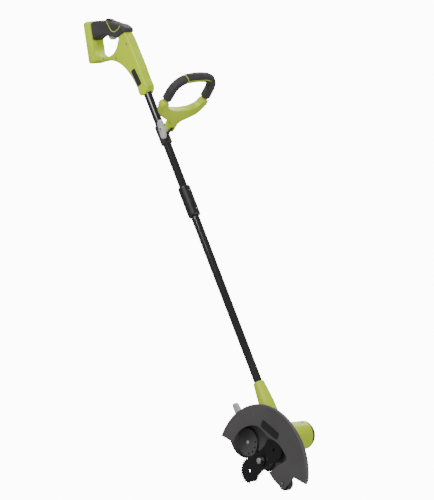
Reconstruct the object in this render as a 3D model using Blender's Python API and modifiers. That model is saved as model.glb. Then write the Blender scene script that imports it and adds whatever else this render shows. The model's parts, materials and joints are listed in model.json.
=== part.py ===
"""Cordless lawn edger: a battery stick tool with a rear D handle, a loop front handle,
a two-piece boom and a guarded edging blade driven through a belt.

Design axes: +Z runs up the boom from the blade to the rear handle, +Y is the front of the
tool, and +X is its right side, where the blade is. Design heights start at the blade's hub;
the empty "edger" then moves the whole tool so that the origin is in the middle of the rear grip.
"""

import math

import bmesh
import bpy
from mathutils import Euler, Matrix, Vector

# Driving dimensions, in metres.
GRIP_HOLD = (0.0, -0.060, 1.438)  # middle of the rear grip, which becomes the origin
GAP = 0.0003  # between pieces that touch
HUB = (0.060, -0.044, 0.0)  # blade hub
WORK_TILT = math.radians(48)  # the boom leans back this far when the wheels are on the ground

TUBE_R = 0.0125
TUBE_WALL = 0.0015
LOWER_TUBE = (0.104, 0.826)
UPPER_TUBE = (0.828, 1.235)
COUPLER = (0.779, 0.876, 0.0190)

GUARD_AT = (0.031, -0.014)  # centre of the guard, forward of and above the hub
GUARD_FACE = (0.194, 0.028)  # radius and place of the open face
GUARD_BACK = (0.164, -0.014)
GUARD_WALL = 0.003
GUARD_BOTTOM = 0.016

BLADE_R = 0.1016
BLADE_T = 0.003
LOBE_R = 0.0400
BLADE_WAIST = 0.028
BLADE_HOLE_AT = 0.062
BLADE_REST = math.radians(232)
TOOTH_DEPTH = 0.0065
TEETH = 13
SPINDLE_R = 0.006
CASE_X = (-0.0537, -0.0280)  # belt case, from the blade plane
CASE_R = 0.035

MOTOR_Z = 0.050
BARREL_R = 0.042
BARREL_X = (-0.098, 0.0057)
PULLEY_X = -0.040  # belt plane, from the blade plane
MOTOR_PULLEY_R = 0.011
BLADE_PULLEY_R = 0.027
BELT_T = 0.0025
BELT_W = 0.008

WHEEL_AT = (-0.118, 0.031)  # forward of and above the hub, with the tool on the ground
WHEEL_R = 0.070
WHEEL_X = (-0.049, -0.027)
ARM_PIVOT = (-0.078, 0.026)
ARM_X = (-0.0240, -0.0175)
LEVER_TIP = (-0.172, 0.102)
INDEX_R = 0.042
ROLLER_AT = (0.131, -0.017)
ROLLER_R = 0.022
ROLLER_X = (0.006, 0.0240)

HANDLE_HALF = 0.0175
FOOT_AT = (-0.116, 1.420)
FOOT_TILT = math.radians(-18)
FOOT = (0.054, 0.030, 0.127)

PIVOT_AT = (0.028, 1.056)
LOOP_TILT = math.radians(22)
LOOP_HALF_WIDTH = 0.078  # to the bar's centre line
LOOP_NEAR = 0.066
LOOP_FAR = 0.203
LOOP_R = 0.0105
SLEEVE_R = 0.0152
CHEEK_X = (0.0085, 0.0160)
BOLT_R = 0.004
CLAMP_Z = (1.018, 1.082)

SEGMENTS = 20
COLOURS = {
    "lime": ((0.60, 0.72, 0.06), 0.38, 0.0),
    "dark": ((0.09, 0.09, 0.10), 0.60, 0.0),
    "guard": ((0.13, 0.13, 0.14), 0.55, 0.0),
    "black": ((0.02, 0.02, 0.02), 0.50, 0.0),
    "rubber": ((0.015, 0.015, 0.015), 0.80, 0.0),
    "light": ((0.55, 0.56, 0.57), 0.45, 0.0),
    "tube": ((0.02, 0.02, 0.022), 0.30, 0.6),
    "steel": ((0.62, 0.62, 0.64), 0.32, 1.0),
    "aluminium": ((0.75, 0.75, 0.76), 0.40, 1.0),
    "blade": ((0.06, 0.06, 0.065), 0.42, 0.8),
    "brass": ((0.80, 0.60, 0.25), 0.30, 1.0),
    "copper": ((0.75, 0.35, 0.18), 0.35, 1.0),
}

for old in list(bpy.data.objects):
    bpy.data.objects.remove(old)

PARTS = bpy.data.collections.new("lawn_edger")
CUTTERS = bpy.data.collections.new("cutters")
bpy.context.scene.collection.children.link(PARTS)
bpy.context.scene.collection.children.link(CUTTERS)


def empty(name, place, turn=(0, 0, 0), parent=None):
    """An axis or frame that pieces are parented to."""
    new = bpy.data.objects.new(name, None)
    PARTS.objects.link(new)
    new.location = place
    new.rotation_euler = turn
    new.parent = parent
    return new


EDGER = empty("edger", tuple(-v for v in GRIP_HOLD))
HEAD = empty("head", HUB, (-WORK_TILT, 0, 0), EDGER)
FOOT_FRAME = empty("foot", (0, *FOOT_AT), (FOOT_TILT, 0, 0), EDGER)
LOOP = empty("loop", (0, *PIVOT_AT), (LOOP_TILT, 0, 0), EDGER)


def material(key):
    """The Principled material of one finish."""
    found = bpy.data.materials.get(key)
    if found:
        return found
    colour, roughness, metallic = COLOURS[key]
    made = bpy.data.materials.new(key)
    made.use_nodes = True
    shader = made.node_tree.nodes["Principled BSDF"]
    shader.inputs["Base Color"].default_value = (*colour, 1)
    shader.inputs["Roughness"].default_value = roughness
    shader.inputs["Metallic"].default_value = metallic
    return made


def place(name, data, finish, parent, at=(0, 0, 0), turn=(0, 0, 0)):
    """A new object in the parts, or among the cutters where it has no finish."""
    new = bpy.data.objects.new(name, data)
    if finish:
        data.materials.append(material(finish))
        PARTS.objects.link(new)
    else:
        CUTTERS.objects.link(new)
        new.hide_render = True
        new.display_type = "WIRE"
    new.parent = parent
    new.location = at
    new.rotation_euler = turn
    return new


def box(name, finish, parent, low, high, bevel=0.0):
    """A box between two corners of its parent's frame."""
    form = bmesh.new()
    bmesh.ops.create_cube(form, size=1)
    size = [b - a for a, b in zip(low, high)]
    bmesh.ops.scale(form, vec=size, verts=form.verts)
    data = bpy.data.meshes.new(name)
    form.to_mesh(data)
    form.free()
    middle = [(a + b) / 2 for a, b in zip(low, high)]
    new = place(name, data, finish, parent, middle)
    if bevel:
        soften(new, bevel)
    return new


def soften(piece, width, segments=2, angle=35):
    """Rounds the edges of a piece."""
    bevel = piece.modifiers.new("edges", "BEVEL")
    bevel.width = width
    bevel.segments = segments
    bevel.limit_method = "ANGLE"
    bevel.angle_limit = math.radians(angle)
    return bevel


ALONG_X = (0, math.pi / 2, 0)
ALONG_Z = (0, 0, 0)
ALONG_Y = (-math.pi / 2, 0, 0)


def turned(name, finish, parent, profile, at=(0, 0, 0), turn=ALONG_X, steps=SEGMENTS):
    """A turned piece. The profile's (radius, height) points run down its outer side; it is
    closed where no point lies on the axis."""
    form = bmesh.new()
    points = [form.verts.new((r, 0, h)) for r, h in profile]
    for a, b in zip(points, points[1:]):
        form.edges.new((a, b))
    if min(r for r, _ in profile) > 0:
        form.edges.new((points[-1], points[0]))
    data = bpy.data.meshes.new(name)
    form.to_mesh(data)
    form.free()
    new = place(name, data, finish, parent, at, turn)
    screw = new.modifiers.new("turn", "SCREW")
    screw.steps = steps
    screw.render_steps = steps
    screw.use_merge_vertices = True
    screw.merge_threshold = 0.00001
    screw.use_smooth_shade = True
    return new


def rod(name, finish, parent, radius, low, high, at=(0, 0, 0), turn=ALONG_X, steps=SEGMENTS):
    """A plain cylinder from one height to another along its axis."""
    profile = [(0, high), (radius, high), (radius, low), (0, low)]
    return turned(name, finish, parent, profile, at, turn, steps)


def ring(name, finish, parent, inner, outer, low, high, at=(0, 0, 0), turn=ALONG_X, steps=SEGMENTS):
    """A plain ring or tube."""
    profile = [(inner, high), (outer, high), (outer, low), (inner, low)]
    return turned(name, finish, parent, profile, at, turn, steps)


def to_mesh(curve, name, finish):
    """Makes a curve object a welded mesh object in the same place."""
    bpy.context.view_layer.update()
    seen = curve.evaluated_get(bpy.context.evaluated_depsgraph_get())
    data = bpy.data.meshes.new_from_object(seen)
    data.name = name
    data.materials.clear()
    form = bmesh.new()
    form.from_mesh(data)
    bmesh.ops.remove_doubles(form, verts=form.verts, dist=0.00001)
    bmesh.ops.recalc_face_normals(form, faces=form.faces)
    form.to_mesh(data)
    form.free()
    where = (curve.parent, tuple(curve.location), tuple(curve.rotation_euler))
    bpy.data.objects.remove(curve)
    return place(name, data, finish, *where)


def spline(curve, points, smooth, closed):
    """Adds one spline through flat or solid points, smooth or straight."""
    if smooth:
        new = curve.splines.new("BEZIER")
        new.bezier_points.add(len(points) - 1)
        for knot, point in zip(new.bezier_points, points):
            knot.co = (*point, 0) if len(point) == 2 else point
            knot.handle_left_type = "AUTO"
            knot.handle_right_type = "AUTO"
    else:
        new = curve.splines.new("POLY")
        new.points.add(len(points) - 1)
        for knot, point in zip(new.points, points):
            knot.co = (*point, 0, 1) if len(point) == 2 else (*point, 1)
    new.use_cyclic_u = closed


FACING_X = (math.pi / 2, 0, math.pi / 2)  # an outline's x and y become the parent's Y and Z


def plate(
    name, finish, parent, loops, low, high, smooth=False, round_edge=0.0, fine=3, grow=0.0, flat=False
):
    """A flat outline, with any holes, between two X positions of its parent's frame, or two Z
    positions where it lies flat. The outline runs anticlockwise and its holes clockwise."""
    curve = bpy.data.curves.new(name, "CURVE")
    curve.dimensions = "2D"
    curve.fill_mode = "BOTH"
    curve.resolution_u = fine
    curve.extrude = (high - low) / 2 - round_edge
    curve.bevel_depth = round_edge
    curve.bevel_resolution = 1
    curve.offset = grow - round_edge
    for loop in loops:
        spline(curve, loop, smooth, True)
    middle = (low + high) / 2
    if flat:
        new = place(name, curve, None, parent, (0, 0, middle))
    else:
        new = place(name, curve, None, parent, (middle, 0, 0), FACING_X)
    return to_mesh(new, name, finish)


def wire(name, finish, parent, points, radius, smooth=True, closed=False, fine=3, sides=2):
    """A round bar along a path."""
    curve = bpy.data.curves.new(name, "CURVE")
    curve.dimensions = "3D"
    curve.resolution_u = fine
    curve.bevel_depth = radius
    curve.bevel_resolution = sides
    curve.use_fill_caps = True
    spline(curve, points, smooth, closed)
    new = place(name, curve, None, parent)
    return to_mesh(new, name, finish)


def combine(piece, other, operation="DIFFERENCE"):
    """Cuts, joins or intersects a piece with a helper, which is left out of the model."""
    if other.name not in CUTTERS.objects:
        PARTS.objects.unlink(other)
        CUTTERS.objects.link(other)
        other.hide_render = True
        other.display_type = "WIRE"
    step = piece.modifiers.new(operation.lower(), "BOOLEAN")
    step.operation = operation
    step.solver = "EXACT"
    step.object = other
    return piece


def arc(centre, radius, start, end, count):
    """Points along an arc, angles in degrees."""
    angles = [math.radians(start + (end - start) * i / count) for i in range(count + 1)]
    return [(centre[0] + radius * math.cos(a), centre[1] + radius * math.sin(a)) for a in angles]


def round_two(centre_a, radius_a, centre_b, radius_b, count=12):
    """The outline of a belt round two circles."""
    across = Vector(centre_b) - Vector(centre_a)
    along = math.degrees(math.atan2(across.y, across.x))
    spread = math.degrees(math.acos((radius_a - radius_b) / across.length))
    first = arc(centre_a, radius_a, along + spread, along + 360 - spread, count)
    return first + arc(centre_b, radius_b, along - spread, along + spread, count)


def in_head(point):
    """A design point (y, z) given as (forward, up) from the hub, in the working posture."""
    turned_point = Matrix.Rotation(WORK_TILT, 2) @ (Vector(point) - Vector(HUB[1:]))
    return tuple(turned_point)


MOTOR_AT = in_head((0, MOTOR_Z))


# --- Boom ---------------------------------------------------------------------------------


def boom():
    for name, (low, high) in {"lower_tube": LOWER_TUBE, "upper_tube": UPPER_TUBE}.items():
        ring(name, "tube", EDGER, TUBE_R - TUBE_WALL, TUBE_R, low, high, turn=ALONG_Z)
    low, high, radius = COUPLER
    bore = TUBE_R + GAP
    ridge = radius - 0.0015
    profile = [(bore, high), (ridge, high), (radius, high - 0.004), (radius, low + 0.004)]
    profile += [(ridge, low), (bore, low)]
    sleeve = turned("coupler_sleeve", "black", EDGER, profile, turn=ALONG_Z)
    for number, at in enumerate((low + 0.018, high - 0.018), 1):
        hole = rod(f"cut_coupler_{number}", None, EDGER, 0.0035, 0.010, 0.030, (0, 0, at), ALONG_Y, 12)
        combine(sleeve, hole)
        head = (TUBE_R + 0.0006, 0.0200)
        rod(f"coupler_screw_{number}", "steel", EDGER, 0.0031, *head, (0, 0, at), ALONG_Y, 12)
    rod("power_lead", "black", EDGER, 0.003, LOWER_TUBE[0] - 0.012, 1.238, turn=ALONG_Z, steps=10)


# --- Rear handle --------------------------------------------------------------------------

HANDLE_OUTLINE = [
    (-0.017, 1.190), (0.017, 1.190), (0.022, 1.230), (0.022, 1.320), (0.017, 1.386),
    (0.009, 1.406), (-0.006, 1.419), (-0.033, 1.443), (-0.056, 1.456), (-0.100, 1.468),
    (-0.128, 1.470), (-0.150, 1.385), (-0.132, 1.361), (-0.088, 1.343), (-0.050, 1.312),
    (-0.026, 1.262), (-0.018, 1.215),
]
HAND_OPENING = [
    (-0.119, 1.408), (-0.104, 1.427), (-0.068, 1.420), (-0.038, 1.404), (-0.017, 1.387),
    (-0.029, 1.371), (-0.048, 1.357), (-0.076, 1.353), (-0.110, 1.366), (-0.121, 1.386),
]
COVER_OUTLINE = [
    (-0.118, 1.4240), (-0.098, 1.4235), (-0.068, 1.4165), (-0.041, 1.4010), (-0.020, 1.3845),
    (0.000, 1.3830), (0.0215, 1.3860), (0.015, 1.4085), (-0.004, 1.4240), (-0.032, 1.4475),
    (-0.056, 1.4605), (-0.106, 1.4725),
]
TRIGGER_AT = (-0.026, 1.408)
TRIGGER_OUTLINE = [
    (-0.006, 0.0060), (-0.030, 0.0120), (-0.036, 0.002), (-0.034, -0.0090), (-0.024, -0.0150),
    (-0.010, -0.0130), (0.001, -0.0060), (0.003, 0.0010),
]
LOCK_OUTLINE = [(-0.0485, 1.4450), (-0.0195, 1.4300), (-0.0195, 1.4410), (-0.0300, 1.4530), (-0.0485, 1.4625)]
HOUSING_SCREWS = ((0.000, 1.252), (0.006, 1.350), (-0.056, 1.334), (-0.106, 1.357))


def handle_rooms():
    """What is hollow inside the rear handle."""
    _, depth, _ = FOOT
    room = [
        (-0.010, 1.2340), (0.012, 1.2340), (0.014, 1.376), (-0.004, 1.380), (-0.022, 1.352),
        (-0.022, 1.300),
    ]
    grip = [(0, -0.002, 1.376), (0, -0.016, 1.409), (0, -0.060, 1.438), (0, -0.104, 1.447)]
    return [
        box("cut_pocket", None, FOOT_FRAME, (-0.021, -depth - 0.01, -0.046), (0.021, -0.006, 0.046)),
        rod("cut_bore", None, EDGER, TUBE_R + GAP, 1.150, 1.2353, turn=ALONG_Z),
        plate("cut_room", None, EDGER, [room], -0.0145, 0.0145),
        wire("cut_grip_room", None, EDGER, grip, 0.0115),
        box("cut_trigger", None, EDGER, (-0.0075, -0.066, 1.378), (0.0075, -0.0205, 1.434)),
        box("cut_lock", None, EDGER, (-0.0075, -0.0490, 1.424), (0.0075, -0.0190, 1.480)),
    ]


def rear_handle():
    width, depth, height = FOOT
    corner = (width / 2, 0, height / 2)
    foot = box("cut_foot", None, FOOT_FRAME, (-width / 2, -depth, -height / 2), corner)
    soften(foot, 0.008)
    rooms = handle_rooms()
    screw_holes = [
        rod(f"cut_screw_{number}", None, EDGER, 0.0034, HANDLE_HALF - 0.003, 0.03, (0, *at), steps=12)
        for number, at in enumerate(HOUSING_SCREWS, 1)
    ]
    for side, name in ((1, "rear_housing_right"), (-1, "rear_housing_left")):
        outline = [HANDLE_OUTLINE, HAND_OPENING]
        half = plate(name, "lime", EDGER, outline, -HANDLE_HALF, HANDLE_HALF, True, 0.005)
        combine(half, foot, "UNION")
        for cutter in rooms:
            combine(half, cutter)
        if side > 0:
            for cutter in screw_holes:
                combine(half, cutter)
        near = side * GAP / 2
        far = side * 0.06
        keep = box(f"keep_{name}", None, EDGER, (min(near, far), -0.25, 1.1), (max(near, far), 0.15, 1.6))
        combine(half, keep, "INTERSECT")
    for number, at in enumerate(HOUSING_SCREWS, 1):
        head = (HANDLE_HALF - 0.0027, HANDLE_HALF - 0.0007)
        rod(f"housing_screw_{number}", "steel", EDGER, 0.0031, *head, (0, *at), steps=12)
    cover = plate("grip_cover", "dark", EDGER, [COVER_OUTLINE], -0.0212, 0.0212, True, 0.006)
    inner = plate(
        "cut_core",
        None,
        EDGER,
        [HANDLE_OUTLINE, HAND_OPENING],
        -HANDLE_HALF - GAP,
        HANDLE_HALF + GAP,
        True,
        grow=GAP,
    )
    combine(cover, inner)
    combine(cover, box("cut_foot_clear", None, FOOT_FRAME, (-0.04, -0.05, -0.08), (0.04, GAP, 0.08)))
    for cutter in rooms[-2:]:
        combine(cover, cutter)
    block = box("battery_terminals", "black", FOOT_FRAME, (-0.013, -0.020, -0.012), (0.013, -0.0063, 0.034))
    for x in (-0.007, 0, 0.007):
        low, high = (x - 0.001, -0.03, -0.02), (x + 0.001, -0.012, 0.024)
        combine(block, box(f"cut_terminal_{x}", None, FOOT_FRAME, low, high))
    box("trigger_switch", "black", EDGER, (-0.006, -0.012, 1.342), (0.006, 0.010, 1.366), 0.001)


def rear_controls():
    y, z = TRIGGER_AT
    axis = empty("trigger_axis", (0, y, z), parent=EDGER)
    trigger = plate("trigger", "light", axis, [TRIGGER_OUTLINE[::-1]], -0.0070, 0.0070, True, 0.002, 3)
    combine(trigger, rod("cut_trigger_pin", None, axis, 0.0023, -0.02, 0.02, steps=12))
    rod("trigger_pin", "steel", EDGER, 0.0020, -0.0073, 0.0073, (0, y, z), steps=12)
    plate("lock_button", "dark", EDGER, [LOCK_OUTLINE], -0.0072, 0.0072)


# --- Front handle -------------------------------------------------------------------------


def front_clamp():
    low, high = CLAMP_Z
    y, z = PIVOT_AT
    bore = rod("cut_clamp_bore", None, EDGER, TUBE_R + GAP, low - 0.01, high + 0.01, turn=ALONG_Z)
    hole = rod("cut_clamp_bolt", None, EDGER, BOLT_R + GAP, -0.05, 0.05, (0, y, z), steps=12)
    for side, name in ((1, "handle_clamp_front"), (-1, "handle_clamp_rear")):
        radius = 0.0175
        outer = [(0, high), (radius - 0.003, high), (radius, high - 0.003)]
        outer += [(radius, low + 0.003), (radius - 0.003, low), (0, low)]
        half = turned(name, "dark", EDGER, outer, turn=ALONG_Z)
        if side > 0:
            lug = [(0.010, z + 0.012), *arc((y, z), 0.0098, 60, -60, 6), (0.010, z - 0.012)][::-1]
            combine(half, plate("lug", None, EDGER, [lug], -0.0080, 0.0080), "UNION")
        combine(half, bore)
        combine(half, hole)
        near = side * GAP / 2
        far = side * 0.08
        keep = box(f"keep_{name}", None, EDGER, (-0.06, min(near, far), 0.9), (0.06, max(near, far), 1.2))
        combine(half, keep, "INTERSECT")
    rod("pivot_bolt", "steel", EDGER, BOLT_R, -0.0160, 0.0340, (0, y, z), steps=16)


def loop_path(height=0.0):
    """The front loop's centre line, closed, in the loop's frame."""
    half, near, far = LOOP_HALF_WIDTH, LOOP_NEAR, LOOP_FAR
    right = [
        (0.015, near), (0.048, near + 0.008), (half - 0.006, near + 0.030), (half, near + 0.058),
        (half - 0.005, far - 0.030), (half - 0.026, far - 0.007), (0.022, far),
    ]
    left = [(-x, y) for x, y in reversed(right)]
    return [(x, y, height) for x, y in right + left]


def front_handle():
    path = loop_path()
    handle = wire("front_handle", "lime", LOOP, path, LOOP_R, closed=True, fine=3, sides=2)
    right = [
        (0.013, 0.008), (0.0150, 0.028), (0.036, 0.044), (0.068, 0.060), (0.086, 0.088),
        (0.0900, 0.112), (0.068, 0.112), (0.064, 0.100), (0.046, 0.086), (0.015, 0.080),
    ]
    base = right + [(-x, y) for x, y in reversed(right)]
    neck = plate("loop_base", None, LOOP, [base], -0.0122, 0.0122, True, 0.003, 2, flat=True)
    combine(handle, neck, "UNION")
    ear = [*arc((0, 0), 0.0095, 90, 270, 8), (0.030, -0.0095), (0.034, 0.0095)]
    combine(handle, plate("loop_ears", None, LOOP, [ear], -CHEEK_X[1], CHEEK_X[1]), "UNION")
    combine(handle, box("cut_ears", None, LOOP, (-0.0085, -0.03, -0.03), (0.0085, 0.0150, 0.03)))
    combine(handle, rod("cut_ear_tube", None, LOOP, BOLT_R + GAP, -0.05, 0.05, steps=12))
    covered = [point for point in path if point[1] > LOOP_NEAR + 0.040]
    grip = wire("loop_grip", "dark", LOOP, covered, SLEEVE_R, fine=3, sides=2)
    combine(grip, wire("cut_loop_core", None, LOOP, path, LOOP_R + 0.0006, closed=True, fine=3, sides=2))


def wing_knob():
    axis = empty("knob_axis", (0, *PIVOT_AT), parent=EDGER)
    low = CHEEK_X[1] + GAP
    profile = [(BOLT_R + GAP, 0.034), (0.0075, 0.034), (0.009, 0.030), (0.0105, low), (BOLT_R + GAP, low)]
    knob = turned("wing_knob", "light", axis, profile, steps=20)
    wings = [
        (0.0080, 0.000), (0.0110, 0.012), (0.0100, 0.025), (0.0040, 0.0290), (-0.005, 0.022),
        (-0.0080, 0.000), (-0.0110, -0.012), (-0.0100, -0.025), (-0.0040, -0.0290), (0.005, -0.022),
    ]
    combine(knob, plate("knob_wings", None, axis, [wings], 0.0200, 0.0325, True, 0.002, 3), "UNION")
    combine(knob, rod("cut_knob", None, axis, BOLT_R + GAP, 0, 0.05, steps=16))


# --- Head ---------------------------------------------------------------------------------


def head_housing():
    left, right = BARREL_X
    at = (0, 0, MOTOR_Z)
    bore = rod("cut_socket", None, EDGER, TUBE_R + GAP, LOWER_TUBE[0] - GAP, 0.30, turn=ALONG_Z)
    lead = rod("cut_lead", None, EDGER, 0.005, MOTOR_Z + 0.02, 0.12, turn=ALONG_Z, steps=16)
    chamber = rod("cut_chamber", None, EDGER, 0.0305, left - 0.01, -0.0180, at)
    shaft = rod("cut_shaft", None, EDGER, 0.006, -0.03, 0.03, at, steps=16)
    case_top = MOTOR_Z + CASE_R + 0.001
    case_room = box("cut_case_room", None, EDGER, (right, -0.09, -0.09), (0.09, 0.09, case_top))
    screw_places = ((-0.080, 0.078), (0.010, 0.130), (-0.009, 0.190))
    holes = [
        rod(f"cut_head_screw_{n}", None, EDGER, 0.0034, 0.0150, 0.07, (x, 0, z), ALONG_Y, 12)
        for n, (x, z) in enumerate(screw_places, 1)
    ]
    for side, name in ((1, "head_housing_front"), (-1, "head_housing_rear")):
        barrel = [(0, right), (BARREL_R - 0.002, right), (BARREL_R, right - 0.002), (BARREL_R, left)]
        half = turned(name, "lime", EDGER, [*barrel, (0, left)], at)
        cone = [
            (0, 0.231), (0.0155, 0.231), (0.0172, 0.228), (0.0240, 0.162), (0.0262, 0.100),
            (0.0270, 0.062), (0, 0.062),
        ]
        combine(half, turned(f"socket_{name}", None, EDGER, cone, turn=ALONG_Z), "UNION")
        for cutter in (bore, lead, chamber, shaft, case_room):
            combine(half, cutter)
        if side > 0:
            for cutter in holes:
                combine(half, cutter)
        near = side * GAP / 2
        far = side * 0.08
        keep = box(f"keep_{name}", None, EDGER, (-0.2, min(near, far), -0.1), (0.1, max(near, far), 0.3))
        combine(half, keep, "INTERSECT")
    for number, (x, z) in enumerate(screw_places, 1):
        rod(f"head_screw_{number}", "steel", EDGER, 0.0031, 0.0153, 0.0172, (x, 0, z), ALONG_Y, 12)


def motor():
    at = (0, 0, MOTOR_Z)
    left = BARREL_X[0] - GAP
    profile = [(0, left), (BARREL_R, left), (BARREL_R, left - 0.004), (BARREL_R - 0.007, left - 0.014)]
    cap = turned("motor_end_cap", "dark", EDGER, [*profile, (0, left - 0.014)], at)
    combine(cap, rod("cut_cap", None, EDGER, 0.030, left - 0.010, 0, at))
    for number in range(5):
        y = (number - 2) * 0.0085
        half = 0.022 - abs(number - 2) * 0.004
        low = (-0.2, y - 0.002, MOTOR_Z - half)
        high = (left - 0.002, y + 0.002, MOTOR_Z + half)
        combine(cap, box(f"cut_vent_{number}", None, EDGER, low, high))
    inner, outer = 0.0036, 0.0295
    can = [
        (inner, -0.024), (outer, -0.024), (outer, -0.086), (inner, -0.086), (inner, -0.083),
        (outer - 0.003, -0.083), (outer - 0.003, -0.027), (inner, -0.027),
    ]
    turned("motor_can", "steel", EDGER, can, at)
    axis = empty("rotor_axis", at, parent=EDGER)
    rod("motor_shaft", "steel", axis, 0.003, -0.092, HUB[0] - 0.031, steps=16)
    ring("rotor_core", "copper", axis, 0.0033, 0.020, -0.078, -0.032)
    pulley("motor_pulley", axis, 0.0033, MOTOR_PULLEY_R, HUB[0] + PULLEY_X)


def pulley(name, parent, inner, radius, middle):
    """A flanged pulley that leaves room for the belt."""
    rim = radius + 0.0028
    low, high = middle - 0.0062, middle + 0.0062
    profile = [
        (inner, high), (rim, high), (rim, high - 0.0016), (radius, high - 0.0016),
        (radius, low + 0.0016), (rim, low + 0.0016), (rim, low), (inner, low),
    ]
    turned(name, "aluminium", parent, profile)


def belt_case():
    low, high = CASE_X
    outer = round_two((0, 0), CASE_R, MOTOR_AT, CASE_R - 0.001)
    room = round_two((0, 0), CASE_R - 0.003, MOTOR_AT, CASE_R - 0.004)
    case = plate("belt_case", "dark", HEAD, [outer], low, high)
    combine(case, plate("cut_belt_room", None, HEAD, [room], low + 0.003, high + 0.01))
    combine(case, rod("boss_rear", None, HEAD, 0.017, low + 0.001, -0.0475), "UNION")
    combine(case, rod("cut_bearing_rear", None, HEAD, 0.0133, low - 0.01, -0.040))
    combine(case, rod("cut_motor_shaft", None, HEAD, 0.005, low - 0.01, -0.04, (0, *MOTOR_AT), steps=16))
    cover = plate("belt_case_cover", "dark", HEAD, [outer], high + GAP, -0.0240)
    combine(cover, rod("boss_front", None, HEAD, 0.026, -0.0255, GUARD_BACK[1] - GAP), "UNION")
    combine(cover, rod("cut_bearing_front", None, HEAD, 0.0133, -0.0255, 0))
    combine(cover, rod("cut_spindle_front", None, HEAD, 0.008, -0.04, 0, steps=20))
    inner = SPINDLE_R + GAP
    ring("spindle_bearing_rear", "steel", HEAD, inner, 0.0130, low + 0.001, -0.0478)
    ring("spindle_bearing_front", "steel", HEAD, inner, 0.0130, -0.0252, -0.0165)
    belt_in = round_two((0, 0), BLADE_PULLEY_R + GAP, MOTOR_AT, MOTOR_PULLEY_R + GAP, 16)
    thick = GAP + BELT_T
    belt_out = round_two((0, 0), BLADE_PULLEY_R + thick, MOTOR_AT, MOTOR_PULLEY_R + thick, 16)
    half = BELT_W / 2
    plate("drive_belt", "rubber", HEAD, [belt_out, belt_in[::-1]], PULLEY_X - half, PULLEY_X + half)


GUARD_OPENING = [
    (-0.104, -0.030), (-0.104, 0.016), (-0.096, 0.049), (-0.073, 0.077), (-0.045, 0.095),
    (-0.022, 0.101), (0.008, 0.095), (0.030, 0.088), (0.060, 0.088), (0.084, 0.083),
    (0.104, 0.072), (0.124, 0.053), (0.101, 0.031), (0.076, 0.001), (0.060, -0.030),
]
GUARD_LEG = [
    (0.063, -0.010), (0.090, -0.024), (0.114, -0.0300), *arc(ROLLER_AT, 0.0175, 260, 340, 5),
    (0.159, -0.004), (0.171, 0.0200), (0.184, 0.034), (0.160, 0.070), (0.124, 0.053),
    (0.101, 0.031), (0.078, 0.002),
]


def guard():
    y, z = GUARD_AT
    face_r, face = GUARD_FACE
    back_r, back = GUARD_BACK
    wall = GUARD_WALL
    at = (0, y, z)
    outer = [
        (0, face), (face_r - 0.004, face), (face_r - 0.001, face - 0.002), (face_r, face - 0.006),
        (back_r + 0.006, back + 0.008), (back_r, back + 0.002), (back_r - 0.004, back), (0, back),
    ]
    inner = [
        (0, face - wall), (face_r - 0.005, face - wall), (face_r - 0.0035, face - 0.007),
        (back_r + 0.002, back + 0.008), (back_r - 0.004, back + wall), (0, back + wall),
    ]
    shell = turned("guard", "guard", HEAD, outer, at, steps=44)
    combine(shell, turned("cut_guard", None, HEAD, inner, at, steps=44))
    combine(shell, box("cut_below", None, HEAD, (-0.05, -0.3, -0.4), (0.06, 0.4, GUARD_BOTTOM)))
    combine(shell, plate("cut_opening", None, HEAD, [GUARD_OPENING[::-1]], face - 0.012, face + 0.01, True))
    leg = plate("guard_leg", None, HEAD, [GUARD_LEG], face - wall + 0.0004, face - 0.0004)
    combine(shell, leg, "UNION")
    ends = (back - 0.01, back + 0.01)
    combine(shell, rod("cut_guard_hub", None, HEAD, 0.015, *ends, steps=20))
    combine(shell, rod("cut_guard_arm", None, HEAD, 0.0063, *ends, (0, *ARM_PIVOT), steps=16))
    ends = (face - 0.01, face + 0.01)
    combine(shell, rod("cut_roller", None, HEAD, 0.0033, *ends, (0, *ROLLER_AT), steps=12))
    for number, side in enumerate((-1, 1), 1):
        screw_at = (0, side * 0.013, 0.0225)
        ends = (back + wall + GAP, back + wall + 0.0025)
        rod(f"guard_screw_{number}", "steel", HEAD, 0.0035, *ends, screw_at, steps=12)


def depth_index():
    ends = (GUARD_BACK[1] + GUARD_WALL + GAP, -0.0045)
    index = ring("depth_index_plate", "guard", HEAD, 0.0063, INDEX_R, *ends, (0, *ARM_PIVOT))
    for number in range(4):
        angle = math.radians(-62 + 28 * number)
        hole_at = (0, ARM_PIVOT[0] + 0.034 * math.cos(angle), ARM_PIVOT[1] + 0.034 * math.sin(angle))
        combine(index, rod(f"cut_index_{number}", None, HEAD, 0.0032, -0.03, 0.01, hole_at, steps=12))


def front_roller():
    ends = (ROLLER_X[0] - 0.003, GUARD_FACE[1] + 0.003)
    rod("roller_axle", "steel", HEAD, 0.0030, *ends, (0, *ROLLER_AT), steps=12)
    axis = empty("roller_axis", (0, *ROLLER_AT), parent=HEAD)
    ring("front_roller", "black", axis, 0.0034, ROLLER_R, *ROLLER_X, steps=24)


# --- Blade --------------------------------------------------------------------------------


def blade_end():
    """One end of the blade, along +X: a plain side, then a toothed lobe."""
    lobe = BLADE_R - LOBE_R
    points = [(0.018, -BLADE_WAIST), (0.036, -BLADE_WAIST - 0.002)]
    for tooth in range(TEETH):
        start = math.radians(-112 + 180 * tooth / TEETH)
        for angle, radius in ((start, LOBE_R), (start + 0.04, LOBE_R - TOOTH_DEPTH)):
            points.append((lobe + radius * math.cos(angle), radius * math.sin(angle)))
    return [*points, (lobe - 0.006, LOBE_R - 0.001), (0.036, BLADE_WAIST + 0.002), (0.018, BLADE_WAIST)]


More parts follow.
